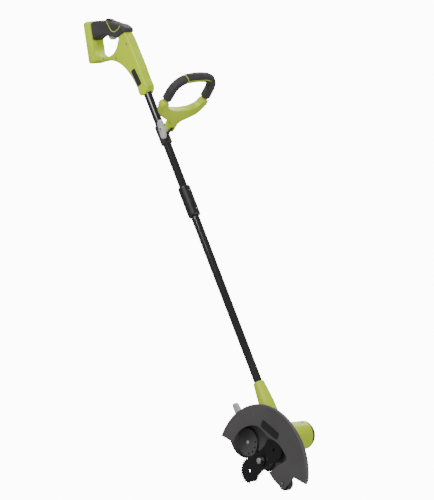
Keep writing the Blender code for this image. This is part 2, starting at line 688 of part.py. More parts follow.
def blade_assembly():
    axis = empty("blade_axis", (0, 0, 0), parent=HEAD)
    end = blade_end()
    turn = Matrix.Rotation(BLADE_REST, 2)
    outline = [tuple(turn @ Vector(point)) for point in end + [(-x, -y) for x, y in end]]
    half = BLADE_T / 2
    cut = plate("blade", "blade", axis, [outline], -half, half)
    combine(cut, rod("cut_arbor", None, axis, SPINDLE_R + GAP, -0.01, 0.01, steps=20))
    for side in (1, -1):
        hole = turn @ Vector((side * BLADE_HOLE_AT, 0))
        combine(cut, rod(f"cut_blade_{side}", None, axis, 0.004, -0.01, 0.01, (0, *hole), steps=14))
    rod("spindle", "steel", axis, SPINDLE_R, CASE_X[0] + 0.0012, 0.0150, steps=24)
    inner = SPINDLE_R + GAP
    pulley("blade_pulley", axis, inner, BLADE_PULLEY_R, PULLEY_X)
    ring("inner_flange", "steel", axis, inner, 0.0190, -0.0065, -half - GAP)
    ring("outer_flange", "steel", axis, inner, 0.0170, half + GAP, 0.0045)
    nut = rod("blade_nut", "steel", axis, 0.0098, 0.0048, 0.0130, steps=6)
    combine(nut, rod("cut_nut", None, axis, inner, 0, 0.02, steps=20))


# --- Depth adjuster and wheel -------------------------------------------------------------


def depth_adjuster():
    low, high = ARM_X
    arm_axis = empty("arm_axis", (0, *ARM_PIVOT), parent=HEAD)
    wheel = Vector(WHEEL_AT) - Vector(ARM_PIVOT)
    tip = Vector(LEVER_TIP) - Vector(ARM_PIVOT)
    neck = tip * 0.74
    arm_outline = round_two((0, 0), 0.013, wheel, 0.011)
    neck_outline = round_two((0, 0), 0.011, neck, 0.0075)
    room_outline = round_two((0, 0), 0.0113, neck, 0.0078)
    grip_outline = round_two(tip * 0.70, 0.0110, tip, 0.0095)
    arm = plate("depth_arm", "light", arm_axis, [arm_outline], low, high)
    lever = plate("lever_blade", None, arm_axis, [neck_outline], low + 0.001, high - 0.001)
    combine(arm, lever, "UNION")
    combine(arm, rod("arm_boss", None, arm_axis, 0.006, low + 0.001, -0.0050, steps=20), "UNION")
    hole = rod("cut_wheel_axle", None, arm_axis, 0.0043, low - 0.01, high + 0.01, (0, *wheel), steps=16)
    combine(arm, hole)
    ends = (low - 0.0025, high + 0.0040)
    grip = plate("depth_lever_grip", "light", arm_axis, [grip_outline], *ends, round_edge=0.002)
    ends = (low + 0.0007, high - 0.0007)
    combine(grip, plate("cut_lever", None, arm_axis, [room_outline], *ends))
    head = high + 0.0015
    seat = high + GAP
    tail = WHEEL_X[0] - 0.002
    axle = [(0, head), (0.0065, head), (0.0065, seat), (0.0040, seat), (0.0040, tail), (0, tail)]
    turned("wheel_axle", "steel", arm_axis, axle, (0, *wheel), steps=16)
    wheel_axis = empty("wheel_axis", (0, *wheel), parent=arm_axis)
    back, front = WHEEL_X
    hub = WHEEL_R - 0.013
    profile = [
        (0.0044, front), (0.013, front), (0.016, front - 0.005), (hub - 0.008, front - 0.005),
        (hub, front - 0.002), (hub, back + 0.002), (hub - 0.008, back + 0.005),
        (0.016, back + 0.005), (0.013, back), (0.0044, back),
    ]
    turned("wheel_hub", "dark", wheel_axis, profile, steps=28)
    inner = hub + GAP
    tyre = [
        (inner, front - 0.0025), (WHEEL_R - 0.004, front - 0.001), (WHEEL_R, front - 0.005),
        (WHEEL_R, back + 0.005), (WHEEL_R - 0.004, back + 0.001), (inner, back + 0.0025),
    ]
    turned("wheel_tyre", "rubber", wheel_axis, tyre, steps=32)


def build():
    boom()
    rear_handle()
    rear_controls()
    front_clamp()
    front_handle()
    wing_knob()
    head_housing()
    motor()
    belt_case()
    guard()
    depth_index()
    front_roller()
    blade_assembly()
    depth_adjuster()


build()
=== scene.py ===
"""Finished surfaces, trim, light and camera for a battery wheeled lawn edger.

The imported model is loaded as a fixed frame. Each operator finishes one piece or one group of like pieces.
All lengths are in metres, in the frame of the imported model, with the boom along Z.
"""

import json
import math

import bmesh
import bpy
import numpy as np
from bpy.props import FloatProperty, FloatVectorProperty, IntProperty, PointerProperty
from mathutils import Matrix, Vector
from mathutils.bvhtree import BVHTree

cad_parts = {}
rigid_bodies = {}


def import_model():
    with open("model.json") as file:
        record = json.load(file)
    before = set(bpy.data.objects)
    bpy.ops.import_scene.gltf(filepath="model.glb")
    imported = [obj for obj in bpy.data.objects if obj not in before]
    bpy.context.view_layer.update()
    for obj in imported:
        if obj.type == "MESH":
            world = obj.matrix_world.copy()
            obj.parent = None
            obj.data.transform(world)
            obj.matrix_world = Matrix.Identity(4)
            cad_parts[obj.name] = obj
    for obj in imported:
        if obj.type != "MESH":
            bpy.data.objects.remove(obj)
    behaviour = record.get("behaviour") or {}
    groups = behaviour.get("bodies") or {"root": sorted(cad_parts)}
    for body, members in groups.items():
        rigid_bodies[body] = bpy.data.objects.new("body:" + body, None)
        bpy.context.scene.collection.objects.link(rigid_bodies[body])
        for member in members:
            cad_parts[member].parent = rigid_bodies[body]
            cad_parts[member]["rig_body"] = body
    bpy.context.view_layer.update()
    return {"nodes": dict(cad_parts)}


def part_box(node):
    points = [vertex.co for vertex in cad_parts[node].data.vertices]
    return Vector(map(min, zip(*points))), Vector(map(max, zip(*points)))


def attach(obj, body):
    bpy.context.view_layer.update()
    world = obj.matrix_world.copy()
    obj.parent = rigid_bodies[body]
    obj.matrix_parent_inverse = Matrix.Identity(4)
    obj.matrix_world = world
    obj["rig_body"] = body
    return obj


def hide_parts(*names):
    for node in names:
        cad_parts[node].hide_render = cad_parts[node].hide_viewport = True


bl_info = {
    "name": "Wheeled Lawn Edger",
    "version": (1, 0, 0),
    "blender": (4, 5, 0),
    "location": "3D View > Sidebar > Edger",
    "description": "Gives the lawn edger its finished surfaces, trim, floor, light and camera",
    "category": "Object",
}

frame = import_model()
NODES = frame["nodes"]

# Where a Mix node keeps its factor, its two colours and its colour output.
MIX_FACTOR, MIX_FIRST, MIX_SECOND, MIX_COLOUR = 0, 6, 7, 2

HEAD_TILT = math.radians(48)
BLADE_HUB = Vector((0.060, 0.016, -1.438))
LOOP_TILT = math.radians(22)
LOOP_ROOT = Vector((0, 0.088, -0.382))

# The lock button is this share of its packed width, so that it clears its opening when pressed.
BUTTON_WIDTH = 0.94

# The frame of the tool that the camera takes in from top to bottom.
VIEW_HEIGHT = 1.475
SENSOR_HEIGHT = 24.0

# How each refined copy is made: lattice size, smoothing passes and the share of faces kept.
REFINING = {
    "belt_case": (0.0009, 3, 0.30),
    "belt_case_cover": (0.0009, 3, 0.30),
    "coupler_sleeve": (0.0007, 3, 0.35),
    "depth_arm": (0.0006, 3, 0.35),
    "depth_index_plate": (0.0006, 2, 0.30),
    "depth_lever_grip": (0.0006, 4, 0.35),
    "front_handle": (0.0010, 5, 0.35),
    "front_roller": (0.0006, 3, 0.35),
    "grip_cover": (0.0009, 4, 0.35),
    "guard": (0.0014, 3, 0.34),
    "handle_clamp_front": (0.0008, 3, 0.35),
    "handle_clamp_rear": (0.0008, 3, 0.35),
    "head_housing_front": (0.0011, 4, 0.32),
    "head_housing_rear": (0.0011, 4, 0.32),
    "lock_button": (0.0005, 3, 0.35),
    "loop_grip": (0.0010, 3, 0.35),
    "motor_end_cap": (0.0007, 3, 0.35),
    "rear_housing_left": (0.0011, 4, 0.30),
    "rear_housing_right": (0.0011, 4, 0.30),
    "trigger": (0.0006, 3, 0.35),
    "wheel_hub": (0.0009, 3, 0.35),
    "wing_knob": (0.0007, 4, 0.35),
}


def in_head(across, forward, up):
    """A point given along the blade's axis, forward and up from its hub, in the frame of the whole tool."""
    sine, cosine = math.sin(HEAD_TILT), math.cos(HEAD_TILT)
    return Vector(
        (
            BLADE_HUB.x + across,
            BLADE_HUB.y + forward * cosine + up * sine,
            BLADE_HUB.z - forward * sine + up * cosine,
        )
    )


def in_loop(across, outward, above):
    """A point given in the plane of the front handle's loop, in the frame of the whole tool."""
    sine, cosine = math.sin(LOOP_TILT), math.cos(LOOP_TILT)
    return Vector(
        (
            across,
            LOOP_ROOT.y + outward * cosine - above * sine,
            LOOP_ROOT.z + outward * sine + above * cosine,
        )
    )


class EdgerColours(bpy.types.PropertyGroup):
    """The colours of the tool's mouldings, tube and metal."""

    lime: FloatVectorProperty(
        name="Lime",
        description="Housings, loop and motor cover",
        subtype="COLOR",
        default=(0.50, 0.67, 0.0),
    )
    grip: FloatVectorProperty(
        name="Grip",
        description="Soft rubber of both grips",
        subtype="COLOR",
        default=(0.048, 0.045, 0.047),
    )
    guard: FloatVectorProperty(
        name="Guard",
        description="Blade guard",
        subtype="COLOR",
        default=(0.070, 0.066, 0.067),
    )
    dark: FloatVectorProperty(
        name="Dark plastic",
        description="Clamps, sleeve and label plates",
        subtype="COLOR",
        default=(0.022, 0.022, 0.023),
    )
    light: FloatVectorProperty(
        name="Light plastic",
        description="Wing knob, trigger and lever",
        subtype="COLOR",
        default=(0.50, 0.49, 0.48),
    )
    tube: FloatVectorProperty(
        name="Tube",
        description="Powder coat of the boom",
        subtype="COLOR",
        default=(0.006, 0.006, 0.007),
    )
    steel: FloatVectorProperty(
        name="Steel",
        description="Bright steel fasteners",
        subtype="COLOR",
        default=(0.62, 0.61, 0.59),
    )


class EdgerSizes(bpy.types.PropertyGroup):
    """The sizes of the trim and of the refined surfaces."""

    stripe_radius: FloatProperty(
        name="Stripe radius", description="Half the width of a lime stripe", unit="LENGTH", default=0.0013
    )
    label_thickness: FloatProperty(
        name="Label thickness", description="How thick a blank label plate is", unit="LENGTH", default=0.0012
    )
    button_clearance: FloatProperty(
        name="Button clearance", description="Room left under the lock button", unit="LENGTH", default=0.0018
    )
    tread_depth: FloatProperty(
        name="Tread depth", description="Depth of the grooves in the tyre", unit="LENGTH", default=0.0018
    )
    tread_blocks: IntProperty(name="Tread blocks", description="Blocks around the tyre", default=36)
    round_segments: IntProperty(name="Round segments", description="Facets around a turned piece", default=96)


class EdgerStage(bpy.types.PropertyGroup):
    """The floor, the lights and the camera's distance."""

    floor_drop: FloatProperty(
        name="Floor drop", description="How far the floor lies below the origin", unit="LENGTH", default=16.0
    )
    floor_width: FloatProperty(name="Floor width", description="Side of the floor", unit="LENGTH", default=240.0)
    key_power: FloatProperty(name="Key power", description="Main light", unit="POWER", default=165.0)
    fill_power: FloatProperty(name="Fill power", description="Softer side light", unit="POWER", default=75.0)
    sky: FloatProperty(name="Surrounding light", description="Strength of the pale surroundings", default=0.36)
    backdrop: FloatProperty(name="Backdrop", description="Brightness of the pale backdrop", default=12.0)
    camera_distance: FloatProperty(
        name="Camera distance", description="From the camera to the tool's middle", unit="LENGTH", default=40.0
    )


class Signal:
    """One output of a shader node. Sums and products of signals add the Math nodes that work them out."""

    def __init__(self, maker, socket):
        self.maker = maker
        self.socket = socket

    def _maths(self, operation, first, second):
        return self.maker.node("ShaderNodeMath", {"operation": operation}, {0: first, 1: second})

    def __add__(self, other):
        return self._maths("ADD", self, other)

    def __radd__(self, other):
        return self._maths("ADD", other, self)

    def __sub__(self, other):
        return self._maths("SUBTRACT", self, other)

    def __rsub__(self, other):
        return self._maths("SUBTRACT", other, self)

    def __mul__(self, other):
        return self._maths("MULTIPLY", self, other)

    def __rmul__(self, other):
        return self._maths("MULTIPLY", other, self)


class NodeMaker:
    """Adds the nodes of one node tree, which it empties first."""

    def __init__(self, tree):
        self.tree = tree
        self.tree.nodes.clear()

    def node(self, kind, settings=None, sockets=None, output=0):
        """Adds a node: its settings first, then the values or links of its sockets. Returns one of its outputs."""
        made = self.tree.nodes.new(kind)
        for key, value in (settings or {}).items():
            setattr(made, key, value)
        for key, value in (sockets or {}).items():
            if isinstance(value, Signal):
                self.tree.links.new(value.socket, made.inputs[key])
            else:
                made.inputs[key].default_value = value
        return Signal(self, made.outputs[output]) if made.outputs else None


class Finish(NodeMaker):
    """A material being made."""

    def __init__(self, name):
        self.material = bpy.data.materials.new(name)
        self.material.use_nodes = True
        super().__init__(self.material.node_tree)

    def place(self):
        return self.node("ShaderNodeTexCoord", output="Object")

    def noise(self, scale, detail=3.0, roughness=0.5, stretch=None):
        """Cloudy noise from 0 to 1 at so many lumps a metre. Stretch scales it along each axis."""
        where = self.place()
        if stretch:
            where = self.node("ShaderNodeMapping", {"vector_type": "POINT"}, {"Vector": where, "Scale": stretch})
        return self.node(
            "ShaderNodeTexNoise",
            {"noise_dimensions": "3D"},
            {"Vector": where, "Scale": scale, "Detail": detail, "Roughness": roughness},
        )

    def band(self, value, low, high):
        """0 below low and 1 above high, with a straight ramp between them."""
        return self.node(
            "ShaderNodeMapRange",
            {"clamp": True},
            {"Value": value, "From Min": low, "From Max": high, "To Min": 0.0, "To Max": 1.0},
        )

    def blend(self, mask, first, second):
        """The first colour where the mask is 0 and the second where it is 1."""
        sockets = {MIX_FACTOR: mask, MIX_FIRST: first, MIX_SECOND: second}
        return self.node("ShaderNodeMix", {"data_type": "RGBA"}, sockets, MIX_COLOUR)

    def bump(self, height, strength, distance):
        return self.node("ShaderNodeBump", None, {"Height": height, "Strength": strength, "Distance": distance})

    def close(self, colour, roughness, normal, metallic=0.0, **fixed):
        """The surface shader with its varying inputs, and fixed ones such as its coat set on its own sockets."""
        sockets = {"Base Color": colour, "Roughness": roughness, "Normal": normal, "Metallic": metallic}
        sockets.update({key.replace("_", " "): value for key, value in fixed.items()})
        shader = self.node("ShaderNodeBsdfPrincipled", None, sockets)
        self.node("ShaderNodeOutputMaterial", None, {"Surface": shader})
        return self.material


def shade(colour, factor):
    """A colour made lighter or darker, with its alpha."""
    return tuple(min(1.0, part * factor) for part in colour) + (1.0,)


def moulded_plastic(name, colour, roughness, grain, scuffs=0.25, coat=0.0):
    """Injection moulded plastic: broad colour drift, fine spark-eroded grain, and thin pale handling scuffs."""
    finish = Finish(name)
    drift = finish.noise(9.0, 2.0)
    speck = finish.noise(260.0, 3.0, 0.6)
    tone = finish.blend(finish.band(drift, 0.35, 0.65), shade(colour, 0.90), shade(colour, 1.08))
    tone = finish.blend(finish.band(speck, 0.55, 0.85) * 0.22, tone, shade(colour, 1.18))
    streak = finish.band(finish.noise(70.0, 4.0, 0.7, (1.0, 1.0, 0.12)), 0.66, 0.78)
    tone = finish.blend(streak * (0.22 * scuffs), tone, (0.75, 0.74, 0.70, 1.0))
    gloss = roughness + 0.10 * (drift - 0.5) + 0.14 * scuffs * streak
    skin = finish.noise(1500.0, 2.0, 0.6) * 0.6 + finish.noise(520.0, 2.0, 0.5) * 0.4
    return finish.close(tone, gloss, finish.bump(skin, grain, 0.0006), Coat_Weight=coat, Coat_Roughness=0.2)


def grip_rubber(name, colour):
    """Soft overmoulded rubber: matt, with a close pebbled grain, painted shade in the hollows between the pebbles,
    and slightly shiny worn places.
    """
    finish = Finish(name)
    pebble = finish.node(
        "ShaderNodeTexVoronoi",
        {"feature": "SMOOTH_F1"},
        {"Vector": finish.place(), "Scale": 620.0, "Smoothness": 0.5},
    )
    worn = finish.band(finish.noise(26.0, 3.0), 0.45, 0.70)
    tone = finish.blend(worn, shade(colour, 0.88), shade(colour, 1.30))
    # Painted shade: the rubber is darkened towards the pebbles' edges, which are the low hollows of the bump
    # below.
    tone = finish.blend(finish.band(pebble, 0.1, 0.7) * 0.5, tone, shade(colour, 0.55))
    gloss = 0.66 - 0.16 * worn + 0.10 * pebble
    return finish.close(tone, gloss, finish.bump(1.0 - pebble, 0.35, 0.0005), Specular_IOR_Level=0.42)


def tyre_rubber(name, colour):
    """Hard wheel rubber with a dull bloom and fine flow marks."""
    finish = Finish(name)
    bloom = finish.band(finish.noise(40.0, 4.0, 0.6), 0.40, 0.72)
    fine = finish.noise(900.0, 3.0, 0.6)
    tone = finish.blend(bloom * 0.5, shade(colour, 1.0), (0.055, 0.052, 0.048, 1.0))
    return finish.close(tone, 0.62 + 0.18 * bloom, finish.bump(fine, 0.30, 0.0004))


def powder_coat(name, colour):
    """Glossy black powder coat: faint orange peel with tiny dull specks."""
    finish = Finish(name)
    peel = finish.noise(330.0, 2.0, 0.4)
    rub = finish.band(finish.noise(34.0, 4.0, 0.65, (1.0, 1.0, 0.15)), 0.60, 0.80)
    tone = finish.blend(rub * 0.35, shade(colour, 1.0), (0.030, 0.030, 0.032, 1.0))
    gloss = 0.17 + 0.16 * rub
    return finish.close(tone, gloss, finish.bump(peel, 0.10, 0.0004), Coat_Weight=0.5, Coat_Roughness=0.08)


def worked_metal(name, colour, roughness, brushed, stain):
    """Machined or rolled metal: fine tool lines along one way, cloudy tarnish and small pits."""
    finish = Finish(name)
    lines = finish.noise(420.0, 3.0, 0.6, brushed)
    cloud = finish.band(finish.noise(55.0, 4.0, 0.6), 0.42, 0.74)
    tone = finish.blend(cloud * 0.55, shade(colour, 1.0), stain)
    tone = finish.blend(finish.band(lines, 0.35, 0.75) * 0.35, tone, shade(colour, 1.25))
    gloss = roughness + 0.14 * cloud + 0.12 * (lines - 0.5)
    return finish.close(tone, gloss, finish.bump(lines, 0.16, 0.0003), 1.0)


def make_finish(slot):
    """The finish of one material slot, made once and kept under the slot's name."""
    name = "edger_" + slot
    if name in bpy.data.materials:
        return bpy.data.materials[name]
    colours = bpy.context.scene.edger_colours
    makers = {
        "lime_plastic": lambda: moulded_plastic(name, colours.lime, 0.42, 0.10),
        "grip_rubber": lambda: grip_rubber(name, colours.grip),
        "dark_plastic": lambda: moulded_plastic(name, colours.dark, 0.44, 0.16),
        "guard_plastic": lambda: moulded_plastic(name, colours.guard, 0.50, 0.22, 0.5),
        "black_plastic": lambda: moulded_plastic(name, shade(colours.dark, 0.35)[:3], 0.36, 0.10),
        "light_plastic": lambda: moulded_plastic(name, colours.light, 0.40, 0.12),
        "black_tube": lambda: powder_coat(name, colours.tube),
        "black_steel": lambda: worked_metal(
            name, (0.045, 0.045, 0.048), 0.34, (1.0, 0.2, 1.0), (0.018, 0.016, 0.015, 1.0)
        ),
        "belt_rubber": lambda: tyre_rubber(name, (0.012, 0.012, 0.012)),
        "tyre_rubber": lambda: tyre_rubber(name, (0.016, 0.016, 0.017)),
        "cast_aluminium": lambda: worked_metal(
            name, (0.46, 0.46, 0.47), 0.40, (1.0, 1.0, 1.0), (0.26, 0.26, 0.27, 1.0)
        ),
        "bright_steel": lambda: worked_metal(
            name, tuple(colours.steel), 0.24, (1.0, 0.25, 1.0), (0.34, 0.32, 0.30, 1.0)
        ),
    }
    return makers[slot]()


def slot_of(node):
    """The name of the material slot that a node of the frame was packed with."""
    return NODES[node]["edger_slot"]


def add_piece(name, mesh, slot, body, replaced=()):
    """Puts a mesh into the scene as a piece that rides on a body and may stand for nodes of the frame."""
    bm = bmesh.new()
    bm.from_mesh(mesh)
    bmesh.ops.remove_doubles(bm, verts=bm.verts, dist=1e-6)
    bmesh.ops.dissolve_degenerate(bm, edges=bm.edges, dist=1e-7)
    bmesh.ops.recalc_face_normals(bm, faces=bm.faces)
    bm.to_mesh(mesh)
    bm.free()
    mesh.shade_smooth()
    piece = bpy.data.objects.new(name, mesh)
    bpy.context.scene.collection.objects.link(piece)
    mesh.materials.clear()
    mesh.materials.append(make_finish(slot))
    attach(piece, body)
    if replaced:
        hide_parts(*replaced)
    return piece


def grid_mesh(name, grid, closed_rows=False, closed_columns=True):
    """A mesh over a grid of points, with four-sided faces between neighbours and round any closed way."""
    rows, columns = grid.shape[:2]
    down = np.arange(rows if closed_rows else rows - 1)
    along = np.arange(columns if closed_columns else columns - 1)
    down, along = np.meshgrid(down, along, indexing="ij")
    below, beside = (down + 1) % rows, (along + 1) % columns
    corners = [down * columns + along, down * columns + beside, below * columns + beside, below * columns + along]
    faces = np.stack(corners, -1).reshape(-1, 4)
    mesh = bpy.data.meshes.new(name)
    mesh.from_pydata(grid.reshape(-1, 3).tolist(), [], faces.tolist())
    mesh.update()
    return mesh


def rounded_loop(corners, radius, steps=5):
    """A closed outline with each corner replaced by a parabola.

    For a corner P with points A and C the radius before and after it, the curve is (1-t)^2 A + 2t(1-t) P + t^2 C.
    """
    point = np.array(corners, float)
    before, after = np.roll(point, 1, 0) - point, np.roll(point, -1, 0) - point
    reach = [np.minimum(radius, 0.45 * np.linalg.norm(side, axis=1))[:, None] for side in (before, after)]
    first = point + before / np.linalg.norm(before, axis=1)[:, None] * reach[0]
    last = point + after / np.linalg.norm(after, axis=1)[:, None] * reach[1]
    t = np.linspace(0, 1, steps)[None, :, None]
    curve = (1 - t) ** 2 * first[:, None] + 2 * t * (1 - t) * point[:, None] + t**2 * last[:, None]
    return curve.reshape(-1, 2)


def turned_mesh(name, outline, centre, axis, segments, groove=None):
    """A closed outline of (along, radius) turned round an axis through the centre.

    The point at angle a is centre + along on the axis + radius (cos a, sin a) across it. Groove lowers the radius
    as a function of the angle, the distance along and the radius.
    """
    along, radius = outline[:, 0][:, None], outline[:, 1][:, None]
    angle = np.linspace(0, 2 * np.pi, segments, endpoint=False)[None, :]
    radius = radius - groove(angle, along, radius) if groove else radius + 0 * angle
    across, upright = radius * np.cos(angle), radius * np.sin(angle)
    along = along + 0 * angle
    parts = (along, across, upright) if axis == "X" else (across, upright, along)
    return grid_mesh(name, np.stack(parts, -1) + np.array(centre), closed_rows=True)


def swept_mesh(name, path, radius, up, sides=12, flat=1.0):
    """A round or oval section carried along a path, drawn to a point at both ends.

    At each step the section is radius (cos a N + flat sin a B) times the square root of 1 - e^8, where e runs
    from -1 to 1 along the path, N is across the path and up, and B is square to both.
    """
    path = np.array(path, float)
    run = np.gradient(path, axis=0)
    run /= np.linalg.norm(run, axis=1)[:, None]
    across = np.cross(run, np.array(up, float))
    across /= np.linalg.norm(across, axis=1)[:, None]
    raised = np.cross(across, run)
    end = np.linspace(-1, 1, len(path))[:, None]
    size = radius * np.sqrt(np.clip(1 - end**8, 0, 1))
    angle = np.linspace(0, 2 * np.pi, sides, endpoint=False)
    sideways = np.cos(angle)[None, :, None] * across[:, None]
    section = sideways + flat * np.sin(angle)[None, :, None] * raised[:, None]
    return grid_mesh(name, path[:, None] + size[:, :, None] * section)


def pad_mesh(name, centre, right, up, half_width, half_height, thickness, power=7.0):
    """A thin plate with a rounded rectangular outline and softened rims.

    The outline at angle a is (w c |c|^(2/n - 1), h s |s|^(2/n - 1)) with c = cos a, s = sin a and n the power.
    Going outwards the share q of that outline grows while the height falls as the root of 1 - q^12.
    """
    right, up = np.array(right, float), np.array(up, float)
    out = np.cross(right, up)
    angle = np.linspace(0, 2 * np.pi, 96, endpoint=False)
    c, s = np.cos(angle), np.sin(angle)
    wide = half_width * np.sign(c) * np.abs(c) ** (2 / power)
    tall = half_height * np.sign(s) * np.abs(s) ** (2 / power)
    turn = np.linspace(0, np.pi, 25)
    share = np.sin(turn) ** 0.35
    height = np.sign(np.cos(turn)) * thickness / 2 * np.sqrt(np.clip(1 - share**12, 0, 1))
    flat = share[:, None, None] * (wide[None, :, None] * right + tall[None, :, None] * up)
    return grid_mesh(name, np.array(centre) + flat + height[:, None, None] * out)


def refined_mesh(node, voxel, passes, keep):
    """A copy of a node's solid with rounded corners: merged, remeshed on a lattice, smoothed and thinned."""
    mesh = NODES[node].data.copy()
    bm = bmesh.new()
    bm.from_mesh(mesh)
    bmesh.ops.remove_doubles(bm, verts=bm.verts, dist=1e-5)
    bm.to_mesh(mesh)
    bm.free()
    helper = bpy.data.objects.new(node + "_working", mesh)
    bpy.context.scene.collection.objects.link(helper)
    remesh = helper.modifiers.new("Lattice", "REMESH")
    remesh.mode = "VOXEL"
    remesh.voxel_size = voxel
    smooth = helper.modifiers.new("Soften", "SMOOTH")
    smooth.factor = 0.5
    smooth.iterations = passes
    thin = helper.modifiers.new("Thin", "DECIMATE")
    thin.ratio = keep
    graph = bpy.context.evaluated_depsgraph_get()
    made = bpy.data.meshes.new_from_object(helper.evaluated_get(graph))
    bpy.data.objects.remove(helper)
    bpy.data.meshes.remove(mesh)
    if len(made.polygons) < 100:
        raise RuntimeError(f"the refined copy of {node} came out empty")
    return made


def refine(node):
    """Stands a refined copy in for a node, on the node's own body and with its own finish."""
    return add_skin(node, refined_mesh(node, *REFINING[node]))


def add_skin(node, mesh):
    """Puts in a mesh that stands for a node, on the node's own body and with its own finish."""
    return add_piece(node + "_skin", mesh, slot_of(node), NODES[node]["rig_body"], (node,))


def surface_of(piece):
    """A search tree over a piece's surface."""
    mesh = piece.data
    return BVHTree.FromPolygons([v.co for v in mesh.vertices], [list(p.vertices) for p in mesh.polygons])


def laid_on(tree, start, way):
    """The point where one ray meets a surface, as a list that is empty if it misses."""
    hit = tree.ray_cast(Vector(start), Vector(way).normalized())[0]
    return [] if hit is None else [hit]


def eased_line(stops, count):
    """Evenly spaced points on a smooth line through the stops: a Catmull-Rom spline, worked out as one array."""
    stop = np.array(stops, float)
    stop = np.vstack([2 * stop[0] - stop[1], stop, 2 * stop[-1] - stop[-2]])
    place = np.linspace(0, len(stops) - 1 - 1e-9, count)
    index = place.astype(int)
    t = (place - index)[:, None]
    a, b, c, d = (stop[index + k] for k in range(4))
    return 0.5 * (2 * b + (c - a) * t + (2 * a - 5 * b + 4 * c - d) * t**2 + (3 * b - a - 3 * c + d) * t**3)


class EDGER_OT_finishes(bpy.types.Operator):
    """Give every part of the frame the finish of its material slot."""

    bl_idname = "edger.finishes"
    bl_label = "Part Finishes"

    def execute(self, context):
        for node in NODES.values():
            slot = node.material_slots[0].material.name.split(".")[0]
            if node.name == "outer_flange":
                slot = "black_steel"
            node["edger_slot"] = slot
            for place in node.material_slots:
                place.material = make_finish(slot)
        return {"FINISHED"}


class EDGER_OT_boom(bpy.types.Operator):
    """Turn the two tubes of the boom and the sleeve that joins them."""

    bl_idname = "edger.boom"
    bl_label = "Boom Tubes"

    def execute(self, context):
        segments = context.scene.edger_sizes.round_segments
        wall, soft = 0.0015, 0.0004
        for node in ("upper_tube", "lower_tube"):
            low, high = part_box(node)
            radius = (high.x - low.x) / 2
            centre = ((low.x + high.x) / 2, (low.y + high.y) / 2, 0)
            corners = [(low.z, radius - wall), (high.z, radius - wall), (high.z, radius), (low.z, radius)]
            outline = rounded_loop(corners, soft)
            mesh = turned_mesh(node + "_skin", outline, centre, "Z", segments)
            add_skin(node, mesh)
        refine("coupler_sleeve")
        return {"FINISHED"}


class EDGER_OT_rear_handle(bpy.types.Operator):
    """Finish the rear handle's mouldings, grip, trigger and lock button, with its label plate and stripe."""

    bl_idname = "edger.rear_handle"
    bl_label = "Rear Handle"

    def execute(self, context):
        sizes = context.scene.edger_sizes
        housings = [refine(node) for node in ("rear_housing_left", "rear_housing_right")]
        grip = refine("grip_cover")
        refine("trigger")
        button = refined_mesh("lock_button", *REFINING["lock_button"])
        point = np.empty(len(button.vertices) * 3, np.float32)
        button.vertices.foreach_get("co", point)
        point = point.reshape(-1, 3)
        low, high = point.min(0), point.max(0)
        middle = (low + high) / 2
        point[:, :2] = middle[:2] + (point[:, :2] - middle[:2]) * BUTTON_WIDTH
        point[:, 2] = np.maximum(point[:, 2], low[2] + sizes.button_clearance)
        button.vertices.foreach_set("co", point.ravel())
        button.update()
        add_skin("lock_button", button)
        trees = [surface_of(housing) for housing in housings]
        faces = [point.x for tree in trees for point in laid_on(tree, (0.1, 0.0565, -0.194), (-1, 0, 0))]
        if not faces:
            raise RuntimeError("the rear handle has no face for its label plate")
        label = pad_mesh(
            "rear_label_plate",
            (max(faces), 0.0565, -0.194),
            (0, 0.995, 0.09),
            (0, -0.09, 0.995),
            0.0100,
            0.0275,
            sizes.label_thickness,
        )
        add_piece("rear_label_plate", label, "dark_plastic", "boom")
        tree = surface_of(grip)
        stops = [(0.045, 0.020, 0.019), (0.045, 0.027, 0.004), (0.045, 0.031, -0.022), (0.045, 0.040, -0.033)]
        stops += [(0.045, 0.052, -0.035), (0.045, 0.064, -0.034), (0.045, 0.073, -0.028), (0.045, 0.078, -0.016)]
        path = []
        for point in eased_line(stops, 100):
            path += laid_on(tree, point, (-1, 0, 0))
        if len(path) < 60:
            raise RuntimeError("the guide line of the grip's stripe misses the grip")
        stripe = swept_mesh("rear_grip_stripe", path, sizes.stripe_radius, (1, 0, 0), 10, 0.5)
        add_piece("rear_grip_stripe", stripe, "lime_plastic", "boom")
        return {"FINISHED"}


class EDGER_OT_front_handle(bpy.types.Operator):
    """Finish the front loop, its sleeve and clamps and the wing knob, with the stripe along the sleeve."""

    bl_idname = "edger.front_handle"
    bl_label = "Front Handle"

    def execute(self, context):
        sizes = context.scene.edger_sizes
        refine("front_handle")
        sleeve = refine("loop_grip")
        refine("handle_clamp_front")
        refine("handle_clamp_rear")
        refine("wing_knob")
        tree = surface_of(sleeve)
        stops = [(0.053, 0.030, 0.020), (0.0505, 0.036, 0.0), (0.048, 0.033, -0.018), (0.0455, 0.022, -0.032)]
        stops += [(0.042, 0.006, -0.038), (0.030, 0.002, -0.039), (0.0, 0.002, -0.039), (-0.030, 0.002, -0.039)]
        stops += [(-0.052, 0.002, -0.039)]
        path = []
        for across, outward, above in eased_line(stops, 110):
            core = 0.203 - 0.007 * min(1.0, max(0.0, (abs(across) - 0.022) / 0.030)) ** 1.5
            start = in_loop(across, core + outward, above)
            path += laid_on(tree, start, in_loop(across, core, 0.0) - start)
        if len(path) < 80:
            raise RuntimeError("the guide line of the loop's stripe misses the sleeve")
        stripe = swept_mesh("loop_grip_stripe", path, sizes.stripe_radius, (0.2, 0.0, 1.0), 10)
        add_piece("loop_grip_stripe", stripe, "lime_plastic", "front_handle")
        return {"FINISHED"}


class EDGER_OT_cutting_head(bpy.types.Operator):
    """Finish the motor housing, its vented cap and the belt case."""

    bl_idname = "edger.cutting_head"
    bl_label = "Cutting Head"

    def execute(self, context):
        for node in ("head_housing_front", "head_housing_rear"):
            refine(node)
        refine("motor_end_cap")
        refine("belt_case")
        refine("belt_case_cover")
        return {"FINISHED"}


